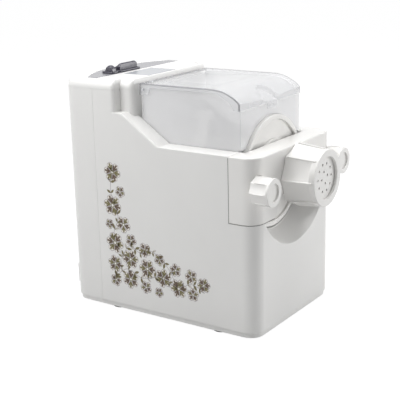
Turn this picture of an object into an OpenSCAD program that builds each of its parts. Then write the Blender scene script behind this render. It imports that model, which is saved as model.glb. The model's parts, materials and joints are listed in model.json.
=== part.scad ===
/* [Body] */
// Width of the body
body_w = 190; // [180:1:200]
// Depth of the body, front face to rear face
body_d = 280; // [276:1:290]
// Height of the control tower above the table
tower_h = 296; // [292:1:300]
// Height of the flat deck round the bowl
deck_h = 221; // [218:1:224]
// Radius of the upright corners in plan
corner_r = 19; // [14:1:22]
// Thickness of the plastic shells
shell_t = 2.8; // [2:0.1:3]
// Height of the rubber feet that shows
foot_h = 2.5; // [2:0.5:3]
// Height of the base tray's band
band_h = 6; // [5:1:8]

/* [Tower] */
// Depth at which the wide part of the tower starts
tower_y = 199; // [196:1:200]
// Depth at which the narrow part of the tower starts
tower_front_y = 180; // [178:1:183]
// Width of the narrow part of the tower
tower_front_w = 163; // [160:1:166]
// Depth at which the rear cover starts
rear_y = 232; // [231:1:236]
// Height of the tower's top cap
cap_h = 12; // [12:1:13]

/* [Bowl and lid] */
// Outer radius of the bowl's round bottom
bowl_r = 70; // [68:0.5:70]
// Wall of the bowl and the lid
clear_t = 2.5; // [2:0.1:2.8]
// Depth at which the bowl starts
bowl_y = 38; // [37.8:0.1:38.5]
// Height of the lid's flat top
lid_h = 291.5; // [290:0.5:292]
// Height at which the sloping front of the lid ends
lid_slope_h = 276.5; // [276:0.5:277]
// Height of the lid's upright lip at its front
lip_h = 8; // [7:0.5:9]

/* [Head] */
// Height of the mixing axis above the table
axis_h = 184; // [183:1:185]
// Outer radius of the round head disc
disc_r = 69; // [67:0.5:69]
// Depth of the front plate where it wraps the side
plate_d = 36; // [34:1:38]
// Height of the front plate's lower edge
plate_h = 142; // [140:1:144]
// Outer radius of the extrusion barrel
barrel_r = 26; // [25:0.5:27]
// Bore radius of the extrusion barrel
barrel_bore_r = 21.5; // [21:0.5:22]
// Reach of the die nut in front of the front plate
nut_reach = 42; // [38:1:44]
// Outer radius of the die nut at its rear
nut_rear_r = 38; // [37:0.5:39]
// Outer radius of the die nut at its face
nut_face_r = 34; // [33:0.5:35]
// Distance between the two clamp knobs
knob_spacing = 176; // [172:1:178]
// Radius of a clamp knob
knob_r = 16.5; // [15:0.5:17]
// Reach of a clamp knob in front of the front plate
knob_reach = 20.5; // [18:0.5:22]
// Length of a clamp knob
knob_l = 24; // [22:0.5:25]

/* [Drive] */
// Teeth of the motor pinion
motor_teeth = 12; // [12:1:12]
// Teeth of the large idler gear
idler_teeth = 60; // [60:1:60]
// Teeth of the small idler pinion
pinion_teeth = 14; // [14:1:14]
// Teeth of the output gear
output_teeth = 56; // [56:1:56]
// Tooth module of the first stage
module_1 = 1.5; // [1.5:0.5:1.5]
// Tooth module of the second stage
module_2 = 2; // [2:0.5:2]

/* [Power inlet] */
// Reach of the inlet housing behind the rear cover
inlet_reach = 12; // [8:1:14]
// Distance of the inlet from the middle, towards the left side
inlet_x = 48; // [40:1:54]

/* [Hidden] */

fine = 96;
mid = 48;
eps = 0.01;
gap = 0.3;
far = 300;
half_w = body_w / 2;
base_z = foot_h;
body_z = base_z + band_h;
cap_z = tower_h - cap_h;
front_y = nut_reach - (nut_reach + body_d + inlet_reach) / 2;
tower_half = tower_front_w / 2;
// The ramp's foot, its upper bend and the landing in front of the tower
slope_y = 134;
slope_end = [177, 250];
landing = [188, 257];
bowl_end_y = tower_front_y - 5;
bowl_top = lid_h - clear_t - gap;
bowl_in_r = bowl_r - clear_t;
well_r = bowl_r + 0.5;
disc_y = 30;
disc_t = 7;
lid_front_y = disc_y + 4;
lid_half = bowl_r + 2.3;
lid_skirt = 4.5;
lid_ear = 14;
// The lid's front slope, as depths and drops below its flat top
lid_curve = [[0, lid_h - lid_slope_h], [4, 11.3], [9.5, 7.7], [16, 4.5], [24, 1.6], [34, 0]];
pin_y = bowl_end_y - 4;
pin_z = lid_h - 7.5;
pin_r = 1.6;
stage_1 = module_1 * (motor_teeth + idler_teeth) / 2;
stage_2 = module_2 * (pinion_teeth + output_teeth) / 2;
idler_z = axis_h - stage_2;
motor_z = idler_z - stage_1;
gear_1_y = tower_front_y + 13;
gear_1_t = 10;
gear_2_y = gear_1_y + gear_1_t + 4;
gear_2_t = 14;
plate_1_y = tower_front_y + 5;
plate_2_y = gear_2_y + gear_2_t + 4;
gear_plate_t = 4;
gear_plate_w = 140;
shaft_r = 6;
idler_r = 4;
motor_shaft_r = 4;
bearing_r = 13;
bush_r = 7;
motor_r = 38;
motor_y = plate_1_y - 92;
bell_t = 8;
stud_r = 3;
insert_r = 5.5;
die_t = 4;
die_r = 26.5;
foot_r = 12;
foot_x = 80;
foot_ys = [58, 213];
base_screw_x = 50;
base_screw_ys = [30, 204];
screw_hole_r = 1.95;
cover_screw_x = 80;
cover_screw_zs = [40, 250];
boss_r = 4.5;
nut_taper = atan((nut_rear_r - nut_face_r) / nut_reach);
cap_edge_r = 10.5;
cap_front_share = 0.3;
step_r = 5;
narrow_r = 7;
panel_t = 1.2;
panel_half = 86;
lens_r = 150;
inlay_x = -42;
inlay_y = tower_front_y + 4;
inlay_w = 59;
inlay_d = 39;
bezel_t = 2.5;
bezel_d = 20;
mode_x = -45.5;
mode_w = 10;
mode_rise = 10;
power_x = -16.5;
power_w = 38;
power_rise = 11;
switch_d = 15;
rocker_side = 1.3;
rocker_pin_r = 1.2;
rocker_pin_y = rear_y + 9.2;
rocker_pin_z = tower_h - 1.5;
inlet_z = 14;
inlet_h = 30;
inlet_w = 46;
pin_pitch = 6;
inlet_pin_z = inlet_z + 15;
board_y = rear_y + 14;
board_t = 1.6;
board_half = 70;
board_zs = [130, 230];
parts_y = board_y + board_t;
wire_r = 1.2;
plate_screw_x = 63;
plate_screw_zs = [motor_z - 36, axis_h + 14];
plate_hole_r = 2.2;
motor_screw_x = 26;
motor_hole_r = 12;
die_y = 8 - nut_reach;

shell_white = [0.94, 0.94, 0.92];
plate_white = [0.95, 0.94, 0.92];
clear_tint = [0.86, 0.88, 0.92, 0.45];
panel_grey = [0.70, 0.70, 0.73];
switch_grey = [0.24, 0.24, 0.28];
rubber_grey = [0.35, 0.35, 0.36];
steel = [0.75, 0.76, 0.78];
brass = [0.80, 0.66, 0.36];
gear_cream = [0.90, 0.87, 0.78];
board_green = [0.12, 0.40, 0.24];
black = [0.10, 0.10, 0.11];

// Moves a piece from the front face's own frame to the part's frame
module placed() {
  translate([0, front_y, 0]) children();
}

// Extrudes an outline in x and z along the depth
module along_y(y0, y1) {
  translate([0, y1, 0]) rotate([90, 0, 0]) linear_extrude(y1 - y0) children();
}

// Extrudes an outline in y and z across the width
module along_x(x0, x1) {
  translate([x0, 0, 0]) rotate([90, 0, 90]) linear_extrude(x1 - x0) children();
}

// A round bar along the depth
module bar_y(r, y0, y1, x = 0, z = 0, r2 = -1, fn = fine) {
  translate([x, y0, z]) rotate([-90, 0, 0]) cylinder(h = y1 - y0, r1 = r, r2 = r2 < 0 ? r : r2, $fn = fn);
}

// A box from its two opposite corners
module box(a, b) {
  translate(a) cube(b - a);
}

// A rectangle with round corners, from its lower left corner
module round_rect(w, h, r) {
  translate([r, 0]) square([w - 2 * r, h]);
  translate([0, r]) square([w, h - 2 * r]);
  for (x = [r, w - r]) for (y = [r, h - r]) translate([x, y]) circle(r, $fn = mid);
}

// The body's plan, drawn in by an inset
module plan(inset = 0) {
  translate([-half_w + inset, inset])
    round_rect(body_w - 2 * inset, body_d - 2 * inset, corner_r - inset);
}

// A bowl outline with a round bottom and upright walls
module bowl_outline(r, top) {
  translate([0, axis_h]) circle(r, $fn = fine);
  translate([-r, axis_h]) square([2 * r, top - axis_h]);
}

// The housing seen from the side, drawn in by an inset
module side_outline(inset, z0) {
  polygon([
    [inset, z0], [body_d - inset, z0], [body_d - inset, cap_z + eps], [tower_y + inset, cap_z + eps],
    [tower_y + inset, landing[1] - inset], [landing[0] + inset, landing[1] - inset],
    [slope_end[0] + inset, slope_end[1] - inset],
    [slope_y, deck_h - inset], [inset, deck_h - inset]
  ]);
}

// Solid form of the housing and the rear cover together
module housing_form(inset, z0) {
  difference() {
    intersection() {
      translate([0, 0, z0]) linear_extrude(cap_z + eps - z0) plan(inset);
      along_x(-half_w, half_w) side_outline(inset, z0);
    }
    for (side = [-1, 1]) step_corner(side, inset);
  }
  translate([-tower_half + inset, tower_front_y + inset, deck_h - shell_t - inset - 1])
    linear_extrude(cap_z + eps - deck_h + shell_t + inset + 1)
      round_rect(tower_front_w - 2 * inset, 40, narrow_r - inset);
}

// What is cut away to round the upright front corner of the tower's wide part
module step_corner(side, inset) {
  r = step_r - inset;
  x = side * (half_w - inset);
  difference() {
    translate([min(x, x - side * r) - (side < 0 ? 1 : 0), tower_y + inset - 1, landing[1] - inset])
      cube([r + 1, r + 1, 60]);
    translate([x - side * r, tower_y + inset + r, 200]) cylinder(h = 200, r = r, $fn = mid);
  }
}

// The shell of the housing and the rear cover together
module housing_shell() {
  difference() {
    housing_form(0, body_z);
    housing_form(shell_t, body_z - 1);
  }
}

// The body's front corner that the front plate fills
module plate_form(inset) {
  intersection() {
    translate([0, 0, plate_h + inset]) linear_extrude(deck_h - plate_h - 2 * inset) plan(inset);
    box([-half_w, -1, plate_h], [half_w, plate_d - gap / 2, deck_h]);
  }
}

// The shallow dish in front of the head disc
module dish(extra) {
  bar_y(disc_r + 16 + extra, -eps, disc_y + eps, 0, axis_h, disc_r + 2.5 + extra);
}

// Places one child at each foot
module at_feet() {
  for (x = [-foot_x, foot_x]) for (y = foot_ys) translate([x, y, 0]) children();
}

// Places one child at each base screw
module at_base_screws() {
  for (x = [-base_screw_x, base_screw_x]) for (y = base_screw_ys) translate([x, y, 0]) children();
}

function involute(r, base) = tan(acos(base / r)) * 180 / PI - acos(base / r);

// Outline of a spur gear with a tooth on the +x axis
module gear_outline(teeth, m, turn = 0) {
  pitch = m * teeth / 2;
  base = pitch * cos(20);
  root = pitch - 1.25 * m;
  tip = pitch + 0.85 * m;
  low = max(base, root) + eps;
  mean = (low + tip) / 2;
  half = 90 / teeth - 0.07 * m / pitch * 180 / PI + involute(pitch, base);
  flank = [[root, half - involute(low, base) + 40 / teeth * (root < base ? 0.2 : 0)],
           [low, half - involute(low, base)],
           [mean, half - involute(mean, base)],
           [tip, half - involute(tip, base)]];
  polygon([for (i = [0 : teeth - 1]) for (k = [0 : 7])
    let (p = k < 4 ? flank[k] : flank[7 - k])
    let (a = turn + i * 360 / teeth + (k < 4 ? -p[1] : p[1]))
    [p[0] * cos(a), p[0] * sin(a)]]);
}

// Base

module base_plate() {
  color(shell_white) placed() difference() {
    translate([0, 0, base_z]) linear_extrude(band_h) plan(2);
    translate([0, 0, base_z + 3]) linear_extrude(band_h) plan(5);
    at_feet() translate([0, 0, base_z - eps]) cylinder(h = 1.6, r = foot_r + 0.4, $fn = fine);
    at_base_screws() translate([0, 0, base_z - eps]) {
      cylinder(h = 3.2, r = 2.2, $fn = mid);
      cylinder(h = 1.7, r = 4.2, $fn = mid);
    }
    for (x = [-36 : 12 : 36]) box([x - 2.5, 96, base_z - 1], [x + 2.5, 170, base_z + 4]);
  }
}

module rubber_feet() {
  color(rubber_grey) placed() at_feet()
    difference() {
      union() {
        cylinder(h = base_z, r1 = foot_r - 1.5, r2 = foot_r, $fn = fine);
        translate([0, 0, base_z - eps]) cylinder(h = 1.5, r = foot_r, $fn = fine);
      }
      translate([0, 0, -eps]) cylinder(h = 1.5, r = 4, $fn = mid);
    }
}

module base_screws() {
  color(steel) placed() at_base_screws() translate([0, 0, base_z + 0.1]) {
    cylinder(h = 20, r = 1.9, $fn = mid);
    cylinder(h = 1.5, r = 4, $fn = mid);
  }
}

// Housing

module main_housing() {
  color(shell_white) placed() difference() {
    union() {
      difference() {
        housing_shell();
        plate_form(0);
        box([-half_w, -1, plate_h], [half_w, plate_d, deck_h + 1]);
        box([-half_w - 1, rear_y, 0], [half_w + 1, body_d + 1, tower_h]);
      }
      // Shelf under the front plate
      intersection() {
        translate([0, 0, plate_h - shell_t - gap]) linear_extrude(shell_t) plan(shell_t / 2);
        box([-half_w, 0, 0], [half_w, plate_d, tower_h]);
      }
      // Bulkhead behind the front plate
      box([-half_w + shell_t / 2, plate_d, plate_h - shell_t],
          [half_w - shell_t / 2, plate_d + shell_t, deck_h - eps]);
      // Wall of the dish
      intersection() {
        union() {
          dish(shell_t);
          bar_y(disc_r + 2.5 + shell_t, disc_y - eps, plate_d + 1, 0, axis_h);
        }
        box([-half_w, 0, body_z], [half_w, plate_d + 1, plate_h - gap]);
      }
      // Front wall of the tower
      box([narrow_r - tower_half, tower_front_y, deck_h - 6],
          [tower_half - narrow_r, tower_front_y + shell_t, cap_z]);
      // Posts for the base screws, with ribs to the side walls
      at_base_screws() translate([0, 0, base_z + 3.1]) cylinder(h = 20, r = 5, $fn = mid);
      for (y = base_screw_ys) for (s = [-1, 1])
        translate([s * 72 - 21, y - 1.5, body_z]) cube([42, 3, 9]);
      // Bosses for the rear cover's screws, with ribs to the side walls
      for (s = [-1, 1]) for (z = cover_screw_zs) {
        bar_y(boss_r, rear_y - 14, rear_y, s * cover_screw_x, z, -1, mid);
        translate([s * 87 - 6.5, rear_y - 14, z - 1.5]) cube([13, 14, 3]);
      }
    }
    dish(0);
    bar_y(well_r + gap, disc_y - 6, tower_front_y - eps, 0, axis_h);
    box([-well_r - gap, disc_y, axis_h], [well_r + gap, tower_front_y, tower_h]);
    box([-half_w - 1, rear_y, 0], [half_w + 1, body_d + 1, tower_h]);
    at_base_screws() translate([0, 0, base_z]) cylinder(h = 22, r = screw_hole_r, $fn = mid);
    for (s = [-1, 1]) for (z = cover_screw_zs)
      bar_y(screw_hole_r, rear_y - 12, rear_y + 1, s * cover_screw_x, z, -1, mid);
    for (s = [-1, 1]) bar_y(stud_r + 0.05, 0, plate_d + 20, s * knob_spacing / 2, axis_h, -1, mid);
  }
}

module rear_cover() {
  color(shell_white) placed() difference() {
    union() {
      intersection() {
        housing_shell();
        box([-half_w - 1, rear_y + 0.1, 0], [half_w + 1, body_d + 1, tower_h]);
      }
      // Inlet housing with its draft
      intersection() {
        along_y(body_d - shell_t, body_d + inlet_reach - 2) translate([-inlet_x - inlet_w / 2 - 3, inlet_z])
          round_rect(inlet_w + 6, inlet_h, 4);
        box([-half_w, body_d - 20, 0], [half_w, body_d + inlet_reach, tower_h]);
      }
      for (s = [-1, 1]) for (z = cover_screw_zs)
        bar_y(boss_r, rear_y + 1, body_d - shell_t / 2, s * cover_screw_x, z, -1, mid);
      // Posts for the control board
      for (x = [4 - board_half, board_half - 4]) for (z = [board_zs[0] + 4, board_zs[1] - 4])
        bar_y(3.5, parts_y, body_d - shell_t / 2, x, z, -1, mid);
    }
    along_y(body_d - 40, body_d + 30) translate([-inlet_x - 14, inlet_z + 5]) round_rect(28, 20, 3);
    for (i = [0 : 8]) along_y(body_d - 20, body_d + 1) translate([10, 60 + i * 9]) round_rect(60, 4, 1.8);
    for (s = [-1, 1]) for (z = cover_screw_zs) {
      bar_y(screw_hole_r, rear_y - 1, body_d - 10, s * cover_screw_x, z, -1, mid);
      bar_y(3.6, body_d - 10.02, body_d + 1, s * cover_screw_x, z, -1, mid);
    }
  }
}

module rear_cover_screws() {
  color(steel) placed() for (s = [-1, 1]) for (z = cover_screw_zs) {
    bar_y(1.9, rear_y - 11, body_d - 9, s * cover_screw_x, z, -1, mid);
    bar_y(3.5, body_d - 10, body_d - 7.5, s * cover_screw_x, z, -1, mid);
  }
}

// The tower's plan, drawn in by an inset
module tower_plan(inset) {
  intersection() {
    plan(inset);
    translate([-half_w, tower_y + inset]) square([body_w, 200]);
  }
  translate([-tower_half + inset, tower_front_y + inset]) square([tower_front_w - 2 * inset, 30]);
}

// A block with round upright corners and round top edges, cut level at its foot; the front
// edge's round is drawn in less far
module cap_block(half, y0, y1, front_r, rear_r) {
  hull() for (a = [0 : 15 : 90]) {
    inset = cap_edge_r * (1 - cos(a));
    for (side = [-1, 1]) for (c = [[y0 + cap_front_share * inset, front_r, 1], [y1 - inset, rear_r, -1]]) {
      r = max(c[1] - inset, 0.5);
      translate([side * (half - inset - r), c[0] + c[2] * r, cap_z])
        cylinder(h = cap_h - cap_edge_r + cap_edge_r * sin(a), r = r, $fn = 32);
    }
  }
}

module top_cover() {
  color(shell_white) placed() difference() {
    union() {
      cap_block(half_w, tower_y, body_d, step_r, corner_r);
      cap_block(tower_half, tower_front_y, body_d - 20, narrow_r, corner_r);
    }
    translate([0, 0, cap_z - 1]) linear_extrude(cap_h - 6) tower_plan(shell_t);
    translate([0, 0, cap_z - 1]) linear_extrude(cap_h - shell_t + 1) tower_plan(9);
    translate([-half_w - 1, 0, cap_z - 1]) cube([body_w + 2, body_d + 1, 1.1]);
    translate([0, 0, tower_h - panel_t]) linear_extrude(2) panel_outline(0.15);
    translate([0, 0, tower_h - panel_t]) linear_extrude(2) inlay_outline(0.15);
    switch_holes(0.2);
  }
}

// The control panel's lens outline
module panel_outline(extra) {
  intersection() {
    translate([0, rear_y + 40 - lens_r]) circle(lens_r + extra, $fn = 180);
    translate([-panel_half - extra, rear_y - 2 - extra]) square([2 * (panel_half + extra), 60]);
  }
}

// The light inlay in front of the control panel
module inlay_outline(extra) {
  translate([inlay_x - extra, inlay_y - extra])
    square([inlay_w + 2 * extra, inlay_d + 2 * extra]);
}

// The opening under a rocker of width w about x
module switch_hole(x, w, extra) {
  translate([x - w / 2 - extra, rear_y + 2 - extra, tower_h - 30])
    cube([w + 2 * extra, switch_d + 2 * extra, 34]);
}

// The openings under both rockers
module switch_holes(extra) {
  switch_hole(mode_x, mode_w, extra);
  switch_hole(power_x, power_w, extra);
}

module control_panel() {
  color(panel_grey) placed() difference() {
    translate([0, 0, tower_h - panel_t]) linear_extrude(panel_t) panel_outline(0);
    switch_holes(0.2);
  }
}

module top_inlay() {
  color([0.85, 0.87, 0.88]) placed()
    translate([0, 0, tower_h - panel_t]) linear_extrude(panel_t) inlay_outline(0);
}

// Switches

module mode_bezel() {
  color(switch_grey) placed() difference() {
    translate([mode_x - 6.5, rear_y, tower_h]) linear_extrude(bezel_t) round_rect(13, bezel_d, 4);
    switch_hole(mode_x, mode_w, 0);
  }
}

module power_bezel() {
  color(switch_grey) placed() difference() {
    translate([power_x - 22, rear_y, tower_h]) linear_extrude(bezel_t) round_rect(45, bezel_d, 5);
    switch_hole(power_x, power_w, 0);
  }
}

// A rocker with round ends, on its cross pin; its outline is y behind the cover's front and z
// above the tower's top
module rocker(x, w, outline) {
  half = w / 2 - rocker_side;
  difference() {
    intersection() {
      along_x(x - half, x + half) polygon([for (p = outline) [rear_y + p[0], tower_h + p[1]]]);
      along_y(rear_y, rear_y + bezel_d) translate([x - half, tower_h - 20])
        round_rect(2 * half, 20 + max([for (p = outline) p[1]]), min(half, 5.5));
    }
    translate([x - w, rocker_pin_y, rocker_pin_z]) rotate([0, 90, 0])
      cylinder(h = 2 * w, r = rocker_pin_r + 0.05, $fn = mid);
  }
}

module mode_rocker() {
  color(switch_grey) placed() rocker(mode_x, mode_w, [
    [2.9, -4], [15.5, -4], [15.1, 4], [13.6, 7], [11.6, mode_rise - 0.9], [9.4, mode_rise],
    [7.2, mode_rise - 0.5], [5, mode_rise - 2.6], [3.4, 5]
  ]);
}

module power_rocker() {
  color(switch_grey) placed() rocker(power_x, power_w, [
    [2.9, -4], [15.5, -4], [15.3, 3], [13.5, 5], [10, 6.8], [7.4, power_rise - 2.2],
    [5.8, power_rise - 0.3], [4.6, power_rise], [3.6, power_rise - 0.8], [3.1, power_rise - 2.6]
  ]);
}

// A switch body below the tower's top, with its cross pin and terminals
module switch_body(x, w) {
  box([x - w / 2, rear_y + 2, tower_h - 30], [x + w / 2, rear_y + 17, tower_h - 8]);
  for (s = [-1, 1]) translate([x + s * (w / 2 - 0.5) - 0.5, rear_y + 7, tower_h - 8 - eps])
    cube([1, 4.4, 7.5 + eps]);
  translate([x - w / 2 + 0.2, rocker_pin_y, rocker_pin_z]) rotate([0, 90, 0])
    cylinder(h = w - 0.4, r = rocker_pin_r, $fn = mid);
  for (i = [-1, 1]) translate([x + i * 3 - 0.4, rear_y + 7, tower_h - 36]) cube([0.8, 4.4, 7]);
}

module mode_switch() {
  color(black) placed() switch_body(mode_x, mode_w);
}

module power_switch() {
  color(black) placed() switch_body(power_x, power_w);
}

// Bowl and lid

module bowl_well() {
  color(shell_white) placed() difference() {
    intersection() {
      along_y(plate_d + shell_t + gap, tower_front_y - gap)
        bowl_outline(well_r + 2.2, deck_h - shell_t - gap);
      box([-100, 0, 0], [100, 300, deck_h - shell_t - gap]);
    }
    along_y(0, tower_front_y - 2.5) bowl_outline(well_r, tower_h);
    bar_y(16, 0, 200, 0, axis_h);
  }
}

module mixing_bowl() {
  color(clear_tint) placed() difference() {
    intersection() {
      along_y(lid_front_y, bowl_end_y) bowl_outline(bowl_r, bowl_top);
      along_x(-100, 100) bowl_side();
    }
    // Room for the head disc under the upper front wall
    bar_y(disc_r + 0.5, 0, bowl_y, 0, axis_h);
    box([-100, 0, 0], [100, bowl_y, deck_h + 1]);
    along_y(bowl_y + clear_t, bowl_end_y - clear_t) bowl_outline(bowl_in_r, tower_h);
    along_y(lid_front_y + clear_t, bowl_y + clear_t + 1) difference() {
      bowl_outline(bowl_in_r, tower_h);
      translate([0, axis_h]) circle(disc_r + clear_t, $fn = fine);
    }
    bar_y(disc_r - 8, 0, bowl_y + 20, 0, axis_h);
    bar_y(11, 100, 200, 0, axis_h);
    for (s = [-1, 1]) translate([s * bowl_r - 10, pin_y, pin_z]) rotate([0, 90, 0])
      cylinder(h = 20, r = pin_r, $fn = mid);
  }
}

// Points of the lid's slope, moved in from its outside by an inset
function lid_points(inset, drop) = [for (p = lid_curve)
  [lid_front_y + p[0] + inset, lid_h - p[1] - drop]];

// The bowl seen from the side, under the lid's slope
module bowl_side() {
  edge = clear_t + gap;
  front = lid_slope_h - lip_h - gap;
  polygon(concat(
    [[lid_front_y, 100], [lid_front_y, front], [lid_front_y + edge, front]],
    lid_points(edge, edge),
    [[pin_y - 0.5, bowl_top], [pin_y - 0.5, pin_z + 2], [bowl_end_y, pin_z + 2], [bowl_end_y, 100]]
  ));
}

// The lid seen from the side, with ears down to its pins
module lid_side(inset) {
  back = bowl_end_y + 1 + inset;
  ear = bowl_end_y - 11 - inset;
  polygon(concat(
    [[lid_front_y + inset, lid_slope_h - lip_h - inset]],
    lid_points(inset, inset),
    [[back - 2, lid_h - inset], [back, lid_h - 2 - inset], [back, lid_h - lid_ear - inset],
     [ear, lid_h - lid_ear - inset],
     [ear - 4, lid_h - lid_skirt - inset], [lid_front_y + 30, lid_h - lid_skirt - inset],
     [lid_front_y + 14, lid_slope_h + 1 - inset], [lid_front_y + 8, lid_slope_h - lip_h - inset]]
  ));
}

module bowl_lid() {
  color(clear_tint) placed() difference() {
    union() {
      along_x(-lid_half, lid_half) lid_side(0);
      // Tab that lifts the lid
      box([-12, lid_front_y - 2.3, lid_slope_h - 15], [12, lid_front_y - gap, lid_slope_h - lip_h + 3]);
      box([-12, lid_front_y - 0.5, lid_slope_h - lip_h], [12, lid_front_y + 0.5, lid_slope_h - lip_h + 3]);
    }
    along_x(-bowl_r - gap, bowl_r + gap) lid_side(clear_t);
    for (s = [-1, 1]) translate([s * lid_half - 10, pin_y, pin_z]) rotate([0, 90, 0])
      cylinder(h = 20, r = pin_r + 0.05, $fn = mid);
  }
}

module lid_magnet() {
  color(steel) placed() translate([-58, bowl_end_y - 6, lid_h]) cylinder(h = 1.2, r = 3, $fn = mid);
}

module lid_pins() {
  color(steel) placed() for (s = [-1, 1])
    translate([s * (bowl_r + 0.5) - 2.9, pin_y, pin_z]) rotate([0, 90, 0])
      cylinder(h = 5.8, r = pin_r, $fn = mid);
}

module reed_switch() {
  color(black) placed()
    translate([-64, tower_front_y + shell_t, lid_h - 22]) cube([12, 6, 14]);
}

// Head

module front_plate() {
  color(plate_white) placed() difference() {
    union() {
      difference() {
        plate_form(0);
        plate_form(shell_t);
        box([-half_w + shell_t, plate_d - 4, plate_h + shell_t],
            [half_w - shell_t, plate_d + 1, deck_h - shell_t]);
      }
      // Collar round the barrel
      bar_y(nut_rear_r - 1, 0.5, 6, 0, axis_h);
      // Seats of the clamp knobs
      for (s = [-1, 1]) intersection() {
        bar_y(knob_r + 3, 0.5, 14, s * knob_spacing / 2, axis_h, -1, mid);
        plate_form(0);
      }
    }
    // The arch under the nut
    along_y(-1, plate_d + 1) polygon([[-52, plate_h - 1], [-48, plate_h + 5], [-33, axis_h - 17],
      [33, axis_h - 17], [48, plate_h + 5], [52, plate_h - 1]]);
    box([-disc_r - 1, disc_y - 1, axis_h - disc_r], [disc_r + 1, plate_d + 1, deck_h + 1]);
    bar_y(barrel_r + 0.1, -1, 40, 0, axis_h);
    for (s = [-1, 1]) {
      bar_y(knob_r + 0.8, -1, knob_l - knob_reach + 0.3, s * knob_spacing / 2, axis_h, -1, fine);
      bar_y(stud_r + 0.6, -1, plate_d + 1, s * knob_spacing / 2, axis_h, -1, mid);
    }
  }
}

module head_disc() {
  color(plate_white) placed() difference() {
    union() {
      bar_y(disc_r, disc_y, disc_y + disc_t, 0, axis_h);
      bar_y(disc_r - 8.4, disc_y + disc_t - eps, disc_y + disc_t + 5, 0, axis_h);
      for (a = [45 : 90 : 315]) translate([0, disc_y - 21.7, axis_h]) rotate([0, a, 0])
        translate([27, 0, -2]) cube([8, 22, 4]);
    }
    difference() {
      bar_y(disc_r - 6, disc_y - 1, disc_y + 3, 0, axis_h);
      bar_y(40, disc_y - 2, disc_y + 4, 0, axis_h);
    }
    bar_y(barrel_r, 0, 60, 0, axis_h);
  }
}

module disc_gasket() {
  color([0.88, 0.88, 0.86]) placed() difference() {
    bar_y(disc_r - 1, disc_y + disc_t, bowl_y, 0, axis_h);
    bar_y(disc_r - 8.3, disc_y, bowl_y + 1, 0, axis_h);
  }
}

module extrusion_barrel() {
  color(plate_white) placed() difference() {
    bar_y(barrel_r, die_y, disc_y + disc_t + 5, 0, axis_h);
    bar_y(barrel_bore_r, -nut_reach, 60, 0, axis_h);
    difference() {
      bar_y(barrel_r + 1, -4, -2, 0, axis_h);
      bar_y(barrel_r - 1.2, -5, -1, 0, axis_h);
    }
  }
}

module barrel_seal() {
  color(rubber_grey) placed() difference() {
    bar_y(barrel_r + 0.1, -3.9, -2.1, 0, axis_h);
    bar_y(barrel_r - 1.2, -5, -1, 0, axis_h);
  }
}

module die_disc() {
  color(plate_white) placed() difference() {
    bar_y(die_r, die_y - die_t, die_y, 0, axis_h);
    for (ring = [[4, 7.5, 76], [10, 17, 0]]) for (i = [1 : ring[0]])
      rotate_about_axis(ring[2] + i * 360 / ring[0])
        bar_y(1.6, -nut_reach + 1, -nut_reach + 10, ring[1], 0, -1, 24);
  }
}

module die_nut() {
  color(plate_white) placed() difference() {
    bar_y(nut_face_r, -nut_reach, -gap, 0, axis_h, nut_rear_r);
    for (i = [0 : 7]) rotate_about_axis(i * 45 + 22.5)
      flute(nut_face_r, -nut_reach, nut_reach - 2, 3.1, 90, nut_taper);
    bar_y(barrel_r + 0.15, die_y - die_t - 0.2, 1, 0, axis_h);
    bar_y(die_r + 0.15, die_y - die_t - 0.2, die_y + 1, 0, axis_h);
    bar_y(die_r - 1, -nut_reach - 1, die_y, 0, axis_h);
  }
}

// Turns a piece about the mixing axis
module rotate_about_axis(a) {
  translate([0, 0, axis_h]) rotate([0, a, 0]) children();
}

// One of eight shallow flutes between narrow ribs, from its foremost depth
module flute(r, y0, length, depth, hollow_r, taper) {
  translate([0, y0, r - depth + hollow_r]) rotate([taper - 90, 0, 0])
    translate([0, 0, -1]) cylinder(h = length + 1, r = hollow_r, $fn = 180);
}

// A clamp knob with eight flutes and a recessed face
module knob(x) {
  difference() {
    bar_y(knob_r, -knob_reach, knob_l - knob_reach, x, axis_h);
    for (i = [0 : 7]) translate([x, 0, 0]) rotate_about_axis(i * 45 + 22.5)
      flute(knob_r, -knob_reach + 4, knob_l, 1.5, 40, 0);
    bar_y(10.5, -knob_reach - 1, -knob_reach + 2.2, x, axis_h);
    bar_y(insert_r, -knob_reach + 6, knob_l, x, axis_h, -1, mid);
  }
}

module left_knob() {
  color(plate_white) placed() knob(-knob_spacing / 2);
}

module right_knob() {
  color(plate_white) placed() knob(knob_spacing / 2);
}

// The threaded insert inside a clamp knob
module knob_insert(x) {
  difference() {
    bar_y(insert_r, -knob_reach + 6, knob_l - knob_reach, x, axis_h, -1, mid);
    bar_y(stud_r + 0.05, -knob_reach + 7, knob_l, x, axis_h, -1, mid);
  }
}

module left_knob_insert() {
  color(brass) placed() knob_insert(-knob_spacing / 2);
}

module right_knob_insert() {
  color(brass) placed() knob_insert(knob_spacing / 2);
}

module knob_studs() {
  color(steel) placed() for (s = [-1, 1])
    bar_y(stud_r, -knob_reach + 8, plate_d + shell_t + 12, s * knob_spacing / 2, axis_h, -1, mid);
}

module stud_nuts() {
  color(steel) placed() for (s = [-1, 1]) difference() {
    bar_y(4.2, plate_d + shell_t, plate_d + shell_t + 4, s * (knob_spacing / 2 - 0.1), axis_h, -1, 6);
    bar_y(stud_r, plate_d, plate_d + 30, s * knob_spacing / 2, axis_h, -1, mid);
  }
}

// Mixing and extruding

module auger() {
  color(plate_white) placed() {
    bar_y(7, -nut_reach + 12, disc_y + 21, 0, axis_h);
    translate([0, disc_y + 12, axis_h]) rotate([90, 0, 0])
      linear_extrude(height = disc_y + nut_reach - 4, twist = -900, slices = 60)
        difference() {
          translate([6, 0]) circle(14.5, $fn = 28);
          circle(6.5, $fn = 20);
        }
  }
}

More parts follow.
